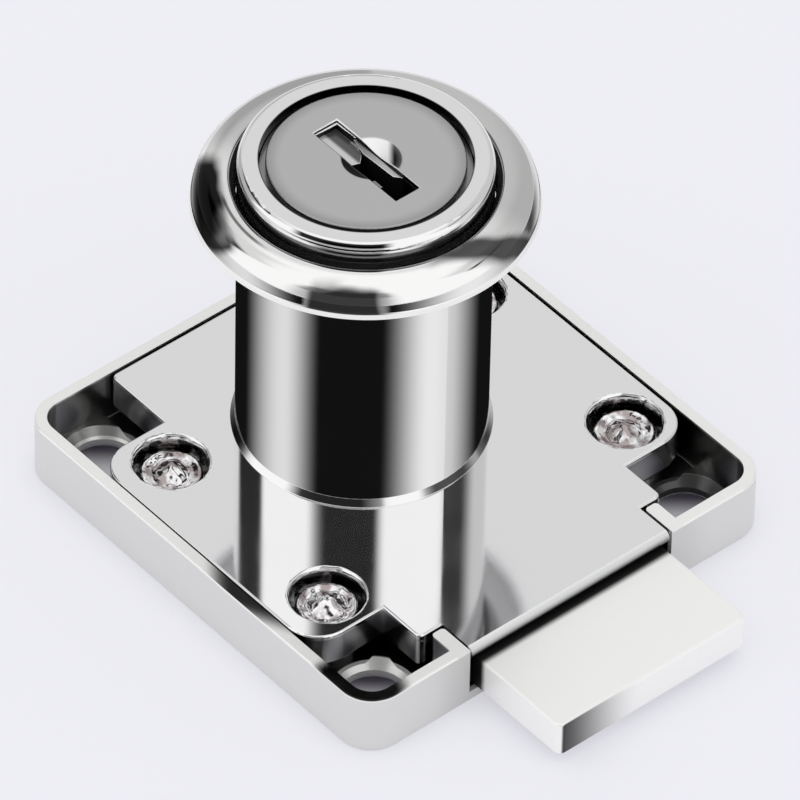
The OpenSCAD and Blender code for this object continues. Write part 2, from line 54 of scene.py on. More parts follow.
# Viewpoint of the photograph, fitted to the object
CAMERA_AZIMUTH = math.radians(48.964)
CAMERA_ELEVATION = math.radians(43.942)
CAMERA_ROLL = math.radians(1.244)
CAMERA_DISTANCE = 824.679 * MM
CAMERA_TARGET = Vector((2.620, 1.486, 2.600)) * MM
SENSOR_MM = 36.0
LENS_MM = 497.97

# Direction that the photograph was taken from, round the barrel axis. Bearings on the part and in the studio count
# from it. It is a constant, so what they place stays put when another camera looks.
CAMERA_BEARING = CAMERA_AZIMUTH - math.pi / 2

# Main sizes of the part as in its source, and of the pieces made here, in millimetres
CASE_MIDDLE = 3.85
CASE_HALF_X = 20.2
CASE_HALF_Y = 19.7
CASE_CORNER_R = 2.8
CASE_WALL = 0.95
Z_FLOOR = -5.3
Z_RECESS = -1.65
Z_PAD = -3.95
RIVET_OUT = (9.05, 14.5)
RIVET_SHIFT = 0.35
RIVETS = [(CASE_MIDDLE + sx * RIVET_OUT[0], RIVET_SHIFT + sy * RIVET_OUT[1]) for sx in (-1, 1) for sy in (-1, 1)]
RIVET_R = 1.45
HEAD_R = 2.35
RECESS_R = 2.85
SCREW_OUT = (15.75, 15.2)
NOSE_X = 23.45
BARREL_R = 9.5
BORE_R = 7.9
FACE_R = 7.4
CAP_BOTTOM = 25.45
CAP_TOP = 25.95
CAP_ROUND = 0.16
KEYHOLE_X = 9.4
KEYHOLE_Y = 2.25
DISH_R = 2.35
DISH_DEPTH = 0.42
DISH_AT = (0.12, 0.39)
WARD_FOOT = 22.5
RING_Z = 22.1
BOLT_TIP = 33.3
BOLT_HALF = 9.1


def view_axes():
    """Unit vectors of the photograph: to its right, up it, and back towards the camera."""
    a, e, r = CAMERA_AZIMUTH, CAMERA_ELEVATION, CAMERA_ROLL
    back = Vector((math.sin(a) * math.cos(e), -math.cos(a) * math.cos(e), math.sin(e)))
    right = Vector((math.cos(a), math.sin(a), 0))
    up = Vector((-math.sin(a) * math.sin(e), math.cos(a) * math.sin(e), math.cos(e)))
    return right * math.cos(r) + up * math.sin(r), up * math.cos(r) - right * math.sin(r), back


VIEW_SIDE, VIEW_TOP, VIEW_BACK = view_axes()


def add_camera():
    """The photograph's viewpoint, as a calibrated camera."""
    data = bpy.data.cameras.new("photo_camera")
    data.sensor_fit = "HORIZONTAL"
    data.sensor_width = SENSOR_MM
    data.lens = LENS_MM
    data.clip_start = 0.05
    data.clip_end = 50
    camera = bpy.data.objects.new("photo_camera", data)
    bpy.context.scene.collection.objects.link(camera)
    place = Matrix((VIEW_SIDE, VIEW_TOP, VIEW_BACK)).transposed().to_4x4()
    place.translation = CAMERA_TARGET + VIEW_BACK * CAMERA_DISTANCE
    camera.matrix_world = place
    bpy.context.scene.camera = camera


class Tree:
    """Short helper for building node trees."""

    def __init__(self, owner):
        owner.use_nodes = True
        self.tree = owner.node_tree
        self.nodes = self.tree.nodes
        self.nodes.clear()

    def add(self, kind, inputs=None, **settings):
        """Adds a node; inputs are sockets that get a value or a link, the rest are properties."""
        node = self.nodes.new(kind)
        for name, value in settings.items():
            setattr(node, name, value)
        for name, value in (inputs or {}).items():
            socket = node.inputs[name]
            if isinstance(value, bpy.types.NodeSocket):
                self.tree.links.new(value, socket)
            else:
                socket.default_value = value
        return node

    def math(self, operation, *values, clamp=False):
        inputs = dict(enumerate(values))
        return self.add("ShaderNodeMath", inputs, operation=operation, use_clamp=clamp).outputs[0]

    def chain(self, operation, values):
        """The operation on the first two values, then on the result and the next one, and so on."""
        result = values[0]
        for value in values[1:]:
            result = self.math(operation, result, value)
        return result

    def plus(self, *values):
        return self.chain("ADD", values)

    def minus(self, *values):
        return self.chain("SUBTRACT", values)

    def times(self, *values):
        return self.chain("MULTIPLY", values)

    def most(self, *values):
        return self.chain("MAXIMUM", values)

    def size(self, value):
        return self.math("ABSOLUTE", value)

    def ramp(self, value, low, high, out_low=0.0, out_high=1.0):
        """Smooth step of value, from out_low at low to out_high at high."""
        inputs = {"Value": value, "From Min": low, "From Max": high, "To Min": out_low, "To Max": out_high}
        return self.add("ShaderNodeMapRange", inputs, interpolation_type="SMOOTHSTEP").outputs[0]

    def band(self, value, rise_from, rise_to, fall_from, fall_to):
        """One between the rise and the fall, zero outside, with smooth edges."""
        return self.times(self.ramp(value, rise_from, rise_to), self.ramp(value, fall_from, fall_to, 1.0, 0.0))

    def mix(self, factor, a, b):
        return self.add("ShaderNodeMix", {0: factor, 2: a, 3: b}, data_type="FLOAT").outputs[0]

    def mix_colour(self, factor, a, b):
        return self.add("ShaderNodeMix", {0: factor, 6: a, 7: b}, data_type="RGBA").outputs[2]

    def place(self):
        """Place on the part in metres."""
        return self.add("ShaderNodeTexCoord").outputs["Object"]

    def position(self):
        """Place on the part in millimetres, as separate X, Y and Z."""
        scaled = self.add("ShaderNodeVectorMath", {0: self.place(), "Scale": 1000.0}, operation="SCALE")
        return tuple(self.add("ShaderNodeSeparateXYZ", {0: scaled.outputs[0]}).outputs)

    def normal(self):
        """Direction that the surface faces, as separate X, Y and Z."""
        facing = self.add("ShaderNodeNewGeometry").outputs["Normal"]
        return tuple(self.add("ShaderNodeSeparateXYZ", {0: facing}).outputs)

    def noise(self, scale, detail):
        """Noise fixed to the part, with a scale per metre."""
        inputs = {"Vector": self.place(), "Scale": scale, "Detail": detail}
        return self.add("ShaderNodeTexNoise", inputs).outputs["Fac"]

    def bearing(self, x, y):
        """Bearing in degrees: 0 towards the photograph's viewpoint, 90 to the right of it."""
        turn = self.minus(self.math("ARCTAN2", y, x), CAMERA_BEARING)
        return self.times(self.math("WRAP", turn, math.pi, -math.pi), 180 / math.pi)

    def slanted(self, x, y, z):
        """Place on the part in millimetres, across and down as the photograph shows it, along constant axes."""
        across = 0.0
        down = 0.0
        for value, side, top in zip((x, y, z), VIEW_SIDE, VIEW_TOP):
            across = self.plus(across, self.times(value, side))
            down = self.minus(down, self.times(value, top))
        return across, down

    def radius(self, x, y, cx=0.0, cy=0.0):
        """Distance of (x, y) from a centre."""
        dx = self.minus(x, cx)
        dy = self.minus(y, cy)
        return self.math("SQRT", self.plus(self.times(dx, dx), self.times(dy, dy)))

    def from_four(self, x, y, out, shift=0.0):
        """Distance from the nearest of the four places that lie out from the middle of the case."""
        return self.radius(self.size(self.minus(x, CASE_MIDDLE)), self.size(self.minus(y, shift)), *out)


# What polished metal sees above the horizon, as bearings and heights in degrees: name, bearings where it begins,
# is full, begins to end and ends, the same for the heights, and brightness. Beyond 400 means no end.
UPPER_BASE = 0.72
UPPER_CARDS = [
    ("back wall, grey", (150, 175, 400, 401), (-1, 0, 62, 70), 0.72),
    ("left wall, grey", (-401, -400, -165, -150), (-1, 0, 28, 40), 0.50),
    ("right wall, grey", (98, 112, 150, 175), (-1, 0, 58, 66), 0.60),
    ("left side wall, grey", (-152, -140, -106, -97), (-1, 0, 46, 54), 0.45),
    ("left dark side", (-152, -140, -106, -97), (32, 37, 46, 54), 0.02),
    ("left panel", (-104, -96, -51, -30), (-1, 0, 90, 91), 1.0),
    ("front wall, grey", (-51, -30, 12, 26), (-1, 0, 54, 62), 0.45),
    ("dark behind the camera", (-51, -30, 12, 26), (32, 37, 54, 62), 0.02),
    ("right panel", (12, 26, 75, 84), (-1, 0, 90, 91), 1.0),
    ("right dark strip", (76, 84, 104, 130), (40, 42, 46, 48), 0.03),
    ("high back panel", (120, 140, 400, 401), (50, 57, 400, 401), 1.0),
    ("high back panel, left end", (-401, -400, -165, -150), (50, 57, 400, 401), 1.0),
    ("overhead panel", (-401, -400, 400, 401), (58, 68, 400, 401), 1.0),
]
# The same below the horizon, which the barrel and the foot of the lock mirror
LOWER_BASE = 0.006
LOWER_CARDS = [
    ("left strip light", (-132, -76, -75, -38), (-401, -400, 400, 401), 0.76),
    ("right strip light", (17, 64, 67, 131), (-401, -400, 400, 401), 0.86),
    ("pale floor behind", (118, 150, 400, 401), (-40, -34, 1, 2), 0.92),
    ("pale floor behind, left end", (-401, -400, -150, -118), (-40, -34, 1, 2), 0.92),
]
PALE = (0.855, 0.855, 0.913, 1)
WHITE = (1, 1, 1, 1)
AMBIENT = 0.85

# Paper of the floor in open light, its painted shade beside the case and deep in a screw hole, and the share of the
# plain pale tone
PAPER = (0.93, 0.925, 0.98, 1)
PAPER_SHADE_BESIDE = (0.45, 0.43, 0.50, 1)
PAPER_SHADE_IN_HOLE = (0.08, 0.07, 0.10, 1)
PLAIN_SHARE = 0.64

FLOOR_HALF = 3.0
SCREEN_HALF = 0.5
SCREEN_Z = 0.02 * MM
SCREEN_JUMP = -2.0
LAMP_DISTANCE = 1.2


def studio_light(t, base, cards, bearing, height):
    """Brightness of the cards laid over each other."""
    light = base
    for name, across, upright, level in cards:
        inside = t.times(t.band(bearing, *across), t.band(height, *upright))
        inside.node.label = name
        light = t.mix(inside, light, level)
    return light


def add_world():
    """Even light for matt surfaces, and a studio of light and dark panels for metal to reflect."""
    world = bpy.data.worlds.new("studio")
    bpy.context.scene.world = world
    t = Tree(world)
    direction = t.add("ShaderNodeTexCoord").outputs["Generated"]
    axes = t.add("ShaderNodeSeparateXYZ", {0: direction}).outputs
    bearing = t.bearing(axes["X"], axes["Y"])
    height = t.times(t.math("ARCSINE", axes["Z"]), 180 / math.pi)
    upper = studio_light(t, UPPER_BASE, UPPER_CARDS, bearing, height)
    lower = studio_light(t, LOWER_BASE, LOWER_CARDS, bearing, height)
    light = t.mix(t.ramp(height, -2, 0), lower, upper)
    path = t.add("ShaderNodeLightPath").outputs
    shiny = t.most(path["Is Glossy Ray"], path["Is Transmission Ray"])
    studio = t.add("ShaderNodeBackground", {"Color": WHITE, "Strength": light}).outputs[0]
    even = t.add("ShaderNodeBackground", {"Color": WHITE, "Strength": AMBIENT}).outputs[0]
    pale = t.add("ShaderNodeBackground", {"Color": PALE, "Strength": 1.0}).outputs[0]
    lit = t.add("ShaderNodeMixShader", {0: shiny, 1: even, 2: studio}).outputs[0]
    seen = t.add("ShaderNodeMixShader", {0: path["Is Camera Ray"], 1: lit, 2: pale}).outputs[0]
    t.add("ShaderNodeOutputWorld", {"Surface": seen})


def add_sheet(name, half, z):
    """Level square sheet round the axis, for the floor and for the reflection screen."""
    mesh = bpy.data.meshes.new(name)
    mesh.from_pydata([(-half, -half, z), (half, -half, z), (half, half, z), (-half, half, z)], [], [(0, 1, 2, 3)])
    sheet = bpy.data.objects.new(name, mesh)
    bpy.context.scene.collection.objects.link(sheet)
    material = bpy.data.materials.new(name)
    mesh.materials.append(material)
    return sheet, Tree(material)


def add_floor():
    """Plain pale paper that the case rests on, with painted shade close to it from an ambient occlusion node, and
    deeper painted shade in the screw holes that lightens along a fixed direction.
    """
    t = add_sheet("floor", FLOOR_HALF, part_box("base_tray")[0].z)[1]
    x, y = t.position()[:2]
    dx = t.minus(x, CASE_MIDDLE)
    beside = t.ramp(t.most(t.size(dx), t.size(y)), 18.6, 19.2)
    hole_x = t.minus(dx, t.times(t.math("SIGN", dx), SCREW_OUT[0]))
    hole_y = t.minus(y, t.times(t.math("SIGN", y), SCREW_OUT[1]))
    nearer = t.times(hole_x, math.sin(CAMERA_AZIMUTH))
    nearer = t.minus(nearer, t.times(hole_y, math.cos(CAMERA_AZIMUTH)))
    # Painted shade in the screw holes, lighter along a fixed direction, and beside the case painted shade from ambient
    # occlusion
    in_hole = t.ramp(nearer, -2.4, 0.3)
    open_sky = t.add("ShaderNodeAmbientOcclusion", {"Distance": 3 * MM}, samples=16).outputs["AO"]
    light = t.mix(beside, in_hole, t.ramp(open_sky, 0.0, 0.9))
    colour = t.mix_colour(light, t.mix_colour(beside, PAPER_SHADE_IN_HOLE, PAPER_SHADE_BESIDE), PAPER)
    paper = t.add("ShaderNodeBsdfDiffuse", {"Color": colour}).outputs[0]
    plain = t.add("ShaderNodeEmission", {"Color": PALE, "Strength": 1.0}).outputs[0]
    path = t.add("ShaderNodeLightPath").outputs
    seen = t.most(path["Is Camera Ray"], path["Is Glossy Ray"], path["Is Transmission Ray"])
    surface = t.add("ShaderNodeMixShader", {0: t.times(seen, beside, PLAIN_SHARE), 1: paper, 2: plain}).outputs[0]
    t.add("ShaderNodeOutputMaterial", {"Surface": surface})


def add_screen():
    """Level with the case rim: what polished metal above it mirrors downwards is the studio and not the rivets.

    Nothing else sees the screen. Mirror rays that come down through it go on to the world below the horizon,
    and those that rise through it pass as if it weren't there, so the cover still mirrors the barrel.
    """
    sheet, t = add_sheet("reflection_screen", SCREEN_HALF, SCREEN_Z)
    sheet.visible_camera = False
    sheet.visible_diffuse = False
    sheet.visible_shadow = False
    sheet.visible_volume_scatter = False
    portal = t.add("ShaderNodeBsdfRayPortal", {"Color": WHITE})
    below = t.add("ShaderNodeCombineXYZ", {2: SCREEN_JUMP}).outputs[0]
    t.tree.links.new(below, portal.inputs["Position"])
    clear = t.add("ShaderNodeBsdfTransparent")
    rising = t.add("ShaderNodeNewGeometry").outputs["Backfacing"]
    mixed = t.add("ShaderNodeMixShader", {0: rising, 1: portal.outputs[0], 2: clear.outputs[0]})
    t.add("ShaderNodeOutputMaterial", {"Surface": mixed.outputs[0]})


def add_lamp(name, bearing, height, size, watts):
    """Soft square lamp that matt surfaces see, from a bearing and a height in degrees."""
    data = bpy.data.lights.new(name, "AREA")
    data.shape = "SQUARE"
    data.size = size
    data.energy = watts
    lamp = bpy.data.objects.new(name, data)
    bpy.context.scene.collection.objects.link(lamp)
    a = CAMERA_BEARING + math.radians(bearing)
    e = math.radians(height)
    away = Vector((math.cos(a) * math.cos(e), math.sin(a) * math.cos(e), math.sin(e)))
    lamp.location = away * LAMP_DISTANCE
    lamp.rotation_euler = away.to_track_quat("Z", "Y").to_euler()
    lamp.visible_glossy = False


def finish(name, colour, roughness, wear=0.03, shade=None, rough_shade=None, metallic=1.0):
    """Metal finish: soft changes in roughness, and places with painted light and shade, rougher or duller.

    shade, rough_shade and a metallic that varies are functions that take the tree. They give a factor for the
    colour that carries painted light and shade, a value to add to the roughness, and how metallic the surface is.
    """
    material = bpy.data.materials.new(name)
    t = Tree(material)
    rough = t.ramp(t.noise(180.0, 4.0), 0.3, 0.75, roughness, roughness + wear)
    if rough_shade:
        rough = t.math("ADD", rough, rough_shade(t), clamp=True)
    inputs = {"Base Color": (*colour, 1), "Metallic": metallic, "Roughness": rough}
    if callable(metallic):
        inputs["Metallic"] = metallic(t)
    if shade:
        tint = t.add("ShaderNodeVectorMath", {0: colour, "Scale": shade(t)}, operation="SCALE").outputs[0]
        inputs["Base Color"] = tint
    shader = t.add("ShaderNodeBsdfPrincipled", inputs)
    t.add("ShaderNodeOutputMaterial", {"Surface": shader.outputs[0]})
    return material


def cloudy_shade(t, low, high):
    """Soft uneven painted shade from low to high for a deep corner, with tone that differs at random like dull
    plating.
    """
    return t.ramp(t.noise(170.0, 1.0), 0.36, 0.62, low, high)


def tarnish_and_glints(t):
    """Patches of brownish tarnish on the rivet heads; on the walls of the rivet recesses it lays painted glints over
    painted shade.
    """
    return t.noise(900.0, 3.0)


# Painted dark and light reflections on the foot of the barrel: bearings where each begins, is full, begins to end and
# ends, and the tone
COLLAR_PAINTED_REFLECTIONS = [
    ((-401, -400, -70, -54), 0.03),
    ((-24, -10, 400, 401), 0.5),
    ((-36, -26, 0, 9), 0.04),
    ((9, 12, 26, 32), 1.0),
    ((28, 36, 52, 62), 0.08),
]
# Heights that a finish changes between: down to the sides below the plate, down off the rim, down to where the
# sides are satin, and up to the top of the rim
BELOW_PLATE = (-0.3, -0.5)
BELOW_RIM = (-0.1, -0.25)
SATIN_BELOW = (-0.1, -0.2)
RIM_TOP = (-0.06, -0.02)
# Place on the rim that its painted dark reflection at the front corner spreads from
RIM_CORNER = (22.0, -19.2)


def casting_shade(t):
    """Painted shade darkens the chrome in the bore, down the nose, in the rivet recesses and on the sides below the
    plate.

    The foot of the barrel has painted dark and light reflections, and its mouth a painted dark line in front, with
    painted shade below it.
    """
    x, y, z = t.position()
    r = t.radius(x, y)
    # Painted shade with painted glints in the rivet recesses, and painted shade with random tone on the sides below
    # the plate
    in_recess = t.ramp(t.from_four(x, y, RIVET_OUT, RIVET_SHIFT), RECESS_R + 0.1, RECESS_R + 0.2, 1, 0)
    below = t.mix(in_recess, cloudy_shade(t, 0.15, 0.7), t.ramp(tarnish_and_glints(t), 0.50, 0.60, 0.05, 0.6))
    shade = t.mix(t.ramp(z, *BELOW_PLATE), 1.0, below)
    # Painted shade down the round front of the nose
    shade = t.mix(t.ramp(x, NOSE_X, NOSE_X + 0.15), shade, t.ramp(z, 0.0, -0.85, 0.90, 0.03))
    bearing = t.bearing(x, y)
    # Painted reflections round the foot of the barrel
    painted_collar = 1.0
    for stretch, tone in COLLAR_PAINTED_REFLECTIONS:
        painted_collar = t.mix(t.band(bearing, *stretch), painted_collar, tone)
    on_collar = t.times(t.ramp(z, -0.035, -0.02), t.ramp(r, 9.502, 9.51), t.ramp(z, 5.0, 4.0))
    shade = t.mix(on_collar, shade, painted_collar)
    # Painted dark line in front of the mouth, and painted shade under it
    mouth_painted_line = t.times(t.band(bearing, -36, -29, 8, 15), t.band(z, 25.82, 25.87, 26.03, 26.07), t.ramp(r, 9.1, 9.18))
    shade_under_mouth = t.times(t.band(z, 24.5, 24.6, 25.32, 25.42), t.ramp(r, 9.3, 9.4))
    shade = t.mix(t.most(mouth_painted_line, shade_under_mouth), shade, t.mix(mouth_painted_line, 0.18, 0.02))
    # Painted shade in the bore
    in_bore = t.times(t.ramp(r, BORE_R + 0.02, BORE_R + 0.12, 1, 0), t.ramp(z, 1.0, 2.0))
    return t.mix(in_bore, shade, 0.05)


def casting_rough(t):
    """Rougher on the sides below the plate."""
    z = t.position()[2]
    return t.ramp(z, *BELOW_PLATE, 0.0, 0.15)


def casting_metallic(t):
    """The round front edge of the nose is dull."""
    x = t.position()[0]
    return t.ramp(x, NOSE_X, NOSE_X + 0.15, 1.0, 0.15)


def tray_inside(t):
    """One on the inner faces of the tray, below its rim."""
    x, y, z = t.position()
    over_x = t.most(t.minus(t.size(t.minus(x, CASE_MIDDLE)), CASE_HALF_X - CASE_CORNER_R), 0.0)
    over_y = t.most(t.minus(t.size(y), CASE_HALF_Y - CASE_CORNER_R), 0.0)
    inner = t.ramp(t.radius(over_x, over_y), CASE_CORNER_R - 0.45, CASE_CORNER_R - 0.35, 1, 0)
    deep = t.times(t.ramp(z, *BELOW_RIM), t.ramp(z, Z_FLOOR + 0.05, Z_FLOOR + 0.15))
    return t.times(inner, deep)


def tray_dish(t):
    """One in the dishes round the screw holes."""
    x, y, z = t.position()
    return t.times(t.ramp(t.from_four(x, y, SCREW_OUT), 3.3, 3.42, 1, 0), t.ramp(z, Z_PAD + 0.05, Z_PAD - 0.02))


def tray_shade(t):
    """Painted shade inside the tray, and painted light and shade on the dishes round the screw holes, with a painted
    highlight round the left holes.

    Outside, the wall has painted shade, deeper beside the bolt, and the rim has a painted dark reflection in a band
    and at its front corner.
    """
    x, y, z = t.position()
    # Painted light on the dishes: a highlight round the left holes' edges, light on the front ones, shade on the right
    # ones
    hole_edge_highlight = t.ramp(t.from_four(x, y, SCREW_OUT), 2.82, 2.76)
    left_dish_light = t.mix(hole_edge_highlight, 0.45, 1.05)
    bright = t.mix(t.ramp(x, 0, 1), left_dish_light, t.mix(t.ramp(y, 0, 1), 1.0, 0.10))
    # Painted shade with random tone inside the tray
    dull = t.mix(tray_dish(t), cloudy_shade(t, 0.06, 0.40), bright)
    side = t.ramp(z, *BELOW_RIM)
    # Painted shade on the outer wall, deeper beside the bolt
    outside = t.mix(side, 1.0, 0.80)
    shade_by_bolt = t.times(t.ramp(x, 23.9, 24.0), side, t.ramp(t.size(y), 14, 10.5))
    outside = t.mix(shade_by_bolt, outside, 0.72)
    # Painted dark reflection in a band along the front rim
    out = t.times(t.minus(CASE_WALL - CASE_HALF_Y, y), 1 / CASE_WALL)
    lead = t.ramp(t.minus(x, t.times(out, 1.2)), 4.0, 7.6)
    trail = t.ramp(t.plus(x, t.times(out, 2.0)), 10.6, 15.4, 1, 0)
    rim_dark_reflection = t.math("POWER", t.mix(t.times(lead, trail), 1.0, 0.12), 2.2)
    on_front_rim = t.times(t.ramp(z, *RIM_TOP), t.ramp(y, -18.6, -18.7))
    outside = t.mix(on_front_rim, outside, rim_dark_reflection)
    # Painted dark reflection at the rim's front corner
    corner = t.times(t.ramp(t.radius(x, y, *RIM_CORNER), 4.6, 3.0), t.ramp(z, -0.12, -0.04))
    outside = t.mix(corner, outside, 0.02)
    return t.mix(tray_inside(t), outside, dull)


def tray_rim(t):
    """One on the top of the rim, away from its painted dark corner."""
    x, y, z = t.position()
    return t.times(t.ramp(z, *RIM_TOP), t.ramp(t.radius(x, y, *RIM_CORNER), 3.0, 4.6))


def tray_rough(t):
    """Rougher inside, and satin on the outer sides and the rim."""
    z = t.position()[2]
    inside = tray_inside(t)
    sides = t.times(t.minus(1.0, inside), t.ramp(z, *SATIN_BELOW, 0, 0.35))
    return t.plus(t.times(inside, 0.15), t.plus(sides, t.times(tray_rim(t), 0.25)))


def tray_metallic(t):
    """Rim, outer sides and dishes are satin rather than mirror bright."""
    z = t.position()[2]
    sides = t.times(t.minus(1.0, tray_inside(t)), t.ramp(z, *SATIN_BELOW))
    return t.ramp(t.most(sides, tray_rim(t), tray_dish(t)), 0.0, 1.0, 1.0, 0.45)


def bolt_shade(t):
    """The end of the bolt has a painted dark reflection at one side that clears towards the other; the bolt has
    painted shade close to the nose.
    """
    x, y = t.position()[:2]
    # Painted dark reflection across the end
    end = t.ramp(x, BOLT_TIP - 0.12, BOLT_TIP - 0.02)
    across = t.ramp(y, -BOLT_HALF - 0.2, -1.0, 0.02, 1.0)
    # Painted shade close to the nose
    contact_shade = t.ramp(x, 24.42, 25.05, 0.01, 1.0)
    return t.mix(end, contact_shade, across)


def cap_shade(t):
    """Satin cap, darker at its edge, with painted shade in the keyhole and painted highlights along its top edges; its
    dish has a painted highlight at the back and painted shade in front.
    """
    x, y, z = t.position()
    face = t.ramp(t.radius(x, y), FACE_R - 1.2, FACE_R, 1.0, 0.72)
    # Painted highlight at the back of the dish and painted shade in front
    bright = t.times(t.ramp(y, 0, 0.5), t.ramp(t.slanted(x, y, z)[0], 1.9, 2.5, 1, 0))
    from_dish = t.radius(x, y, *DISH_AT)
    in_dish = t.times(t.ramp(from_dish, DISH_R + 0.16, DISH_R + 0.02), t.ramp(z, CAP_TOP - 0.01, CAP_TOP - 0.03))
    dark = t.ramp(from_dish, DISH_R - 0.7, DISH_R, 0.01, t.ramp(y, 0, 0.5, 0.02, 0.25))
    face = t.mix(in_dish, face, t.mix(bright, dark, 1.65))
    away = t.most(t.minus(t.size(y), KEYHOLE_Y / 2), t.minus(t.size(x), KEYHOLE_X / 2))
    # Painted highlights along two top edges of the keyhole, painted shade along the others
    edge = t.times(t.ramp(away, 0.12, 0.09), t.ramp(z, CAP_TOP - 0.002, CAP_TOP - 0.01))
    edge_highlight = t.most(t.ramp(y, 0.9, 1.0), t.ramp(x, -4.4, -4.5))
    face = t.mix(edge, face, t.mix(edge_highlight, 0.1, 1.65))
    # Painted shade in the keyhole
    in_hole = t.times(t.ramp(away, 0.01, 0.03, 1, 0), t.ramp(z, CAP_TOP - 0.09, CAP_TOP - 0.11))
    return t.mix(in_hole, face, 0.03)


def ward_shade(t):
    """Painted light on the wards: painted shade down their sides, painted highlights along their edges and at the
    keyway's end, and grey tops painted lighter towards the front.
    """
    x, y = t.position()[:2]
    # Sides painted dark and tops light by which way the surface faces
    upright = t.normal()[2]
    top = t.ramp(y, -0.5, -0.1, 1.0, 0.16)
    on_rib = t.times(t.ramp(y, 0.5, 0.55), t.ramp(x, -2.9, -2.2))
    top = t.mix(on_rib, top, t.ramp(x, -2.4, 1.6, 0.3, 0.7))
    # Painted highlight along the keyway's end
    end = t.most(t.ramp(x, -4.42, -4.5), t.times(t.ramp(y, 0.94, 0.97), t.ramp(x, -2.3, -2.5)))
    top = t.mix(end, top, 1.4)
    shade = t.mix(t.ramp(upright, 0.3, 0.5), 0.02, top)
    # Painted highlights along the bevelled edges
    return t.mix(t.band(upright, 0.3, 0.5, 0.9, 0.96), shade, 1.2)


def ring_underside(t):
    """One on the hollow underside of the ring and on its lip."""
    x, y, z = t.position()
    facing = t.normal()
    outward = t.math("DIVIDE", t.plus(t.times(facing[0], x), t.times(facing[1], y)), t.radius(x, y))
    hollow = t.ramp(t.plus(outward, facing[2]), -0.1, -0.2)
    return t.most(hollow, t.ramp(z, RING_Z + 0.39, RING_Z + 0.36))


def ring_painted_reflections(t):
    """Masks of the painted reflections on the dome: soft dark patches left, right, front and beside it, and a pale
    cloud in the left one.
    """
    across, down = t.slanted(*t.position())
    drift = t.times(t.minus(t.noise(300.0, 1.0), 0.5), 1.6)
    across = t.plus(across, drift)
    down = t.plus(down, drift)
    edge = t.minus(across, t.times(t.most(t.plus(down, 16.3), 0.0), 0.27))
    left = t.times(t.band(down, -19.3, -18.0, -12.4, -11.4), t.ramp(edge, -10.7, -9.9, 1, 0))
    cloud = t.times(t.ramp(across, -11.2, -9.9), t.band(down, -16.0, -15.0, -13.4, -12.0))
    slant = t.plus(across, t.times(t.plus(down, 12.97), 1.73))
    right = t.times(t.band(down, -13.7, -12.7, -11.6, -10.6), t.ramp(slant, 7.4, 9.0))
    bow = t.plus(down, t.times(t.plus(across, -1.5), -0.09))
    front = t.times(t.band(across, -4.4, -3.5, 1.2, 2.2), t.ramp(bow, -9.2, -8.5))
    beside = t.times(t.band(across, -4.2, -3.2, -2.6, -0.6), t.band(down, -10.2, -9.2, -8, -7))
    return left, cloud, right, front, beside


def ring_shade(t):
    """Painted shade in the funnel and bore, a painted pale underside with a painted white highlight on the lip, and
    painted reflections on the dome.
    """
    x, y = t.position()[:2]
    r = t.radius(x, y)
    bearing = t.bearing(x, y)
    left, cloud, right, front, beside = ring_painted_reflections(t)
    # Painted grey reflection round the back of the dome
    back = t.plus(t.ramp(bearing, 58, 75), t.ramp(bearing, -95, -115))
    tone = t.mix(back, 1.0, 0.74)
    # Painted dark ribbon of shade along the inner crest
    crest_shade_ribbon = t.times(t.band(r, 10.60, 10.70, 10.82, 10.94), t.band(bearing, -80, -72, -50, -38))
    tone = t.mix(crest_shade_ribbon, tone, 0.25)
    # Painted reflections: dark patches, the left one with a pale cloud
    tone = t.mix(left, tone, t.mix(cloud, 0.015, 0.20))
    tone = t.mix(right, tone, 0.05)
    tone = t.mix(beside, tone, 0.45)
    tone = t.mix(front, tone, 0.03)
    # Painted pale underside, darker inwards, and a painted white highlight on the lip
    below = t.mix(t.ramp(r, 12.35, 12.45), t.ramp(r, 10.6, 11.2, 0.3, 0.97), 0.97)
    tone = t.mix(ring_underside(t), tone, below)
    # Painted shade in the funnel and bore
    return t.mix(t.ramp(r, 10.0, 10.06, 1, 0), tone, 0.03)


def ring_metallic(t):
    """The underside and the darkest painted patches are dull."""
    left, cloud, right, front = ring_painted_reflections(t)[:4]
    return t.minus(1.0, t.most(ring_underside(t), t.most(t.times(left, cloud), right, front)))


def rivet_finish():
    """Bright crumpled steel with patches of tarnish."""
    material = bpy.data.materials.new("rivet_steel")
    t = Tree(material)
    patch = t.ramp(tarnish_and_glints(t), 0.42, 0.62)
    colour = t.mix_colour(patch, (0.95, 0.94, 0.95, 1), (0.42, 0.36, 0.36, 1))
    rough = t.ramp(tarnish_and_glints(t), 0.3, 0.7, 0.03, 0.12)
    shader = t.add("ShaderNodeBsdfPrincipled", {"Base Color": colour, "Metallic": 1.0, "Roughness": rough})
    t.add("ShaderNodeOutputMaterial", {"Surface": shader.outputs[0]})
    return material


def dress(names, material):
    """Gives CAD nodes a finish."""
    for name in names:
        mesh = nodes[name].data
        mesh.materials.clear()
        mesh.materials.append(material)


def new_piece(name, bm, body, material, sharp):
    """Turns a bmesh in millimetres into a piece that rides on a body, smooth up to an angle in degrees."""
    bmesh.ops.recalc_face_normals(bm, faces=bm.faces)
    bmesh.ops.scale(bm, vec=(MM, MM, MM), verts=bm.verts)
    mesh = bpy.data.meshes.new(name)
    for face in bm.faces:
        face.smooth = True
    limit = math.radians(sharp)
    for edge in bm.edges:
        if len(edge.link_faces) == 2 and edge.calc_face_angle(0.0) > limit:
            edge.smooth = False
    bm.to_mesh(mesh)
    bm.free()
    mesh.materials.append(material)
    piece = bpy.data.objects.new(name, mesh)
    bpy.context.scene.collection.objects.link(piece)
    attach(piece, body)
    return piece


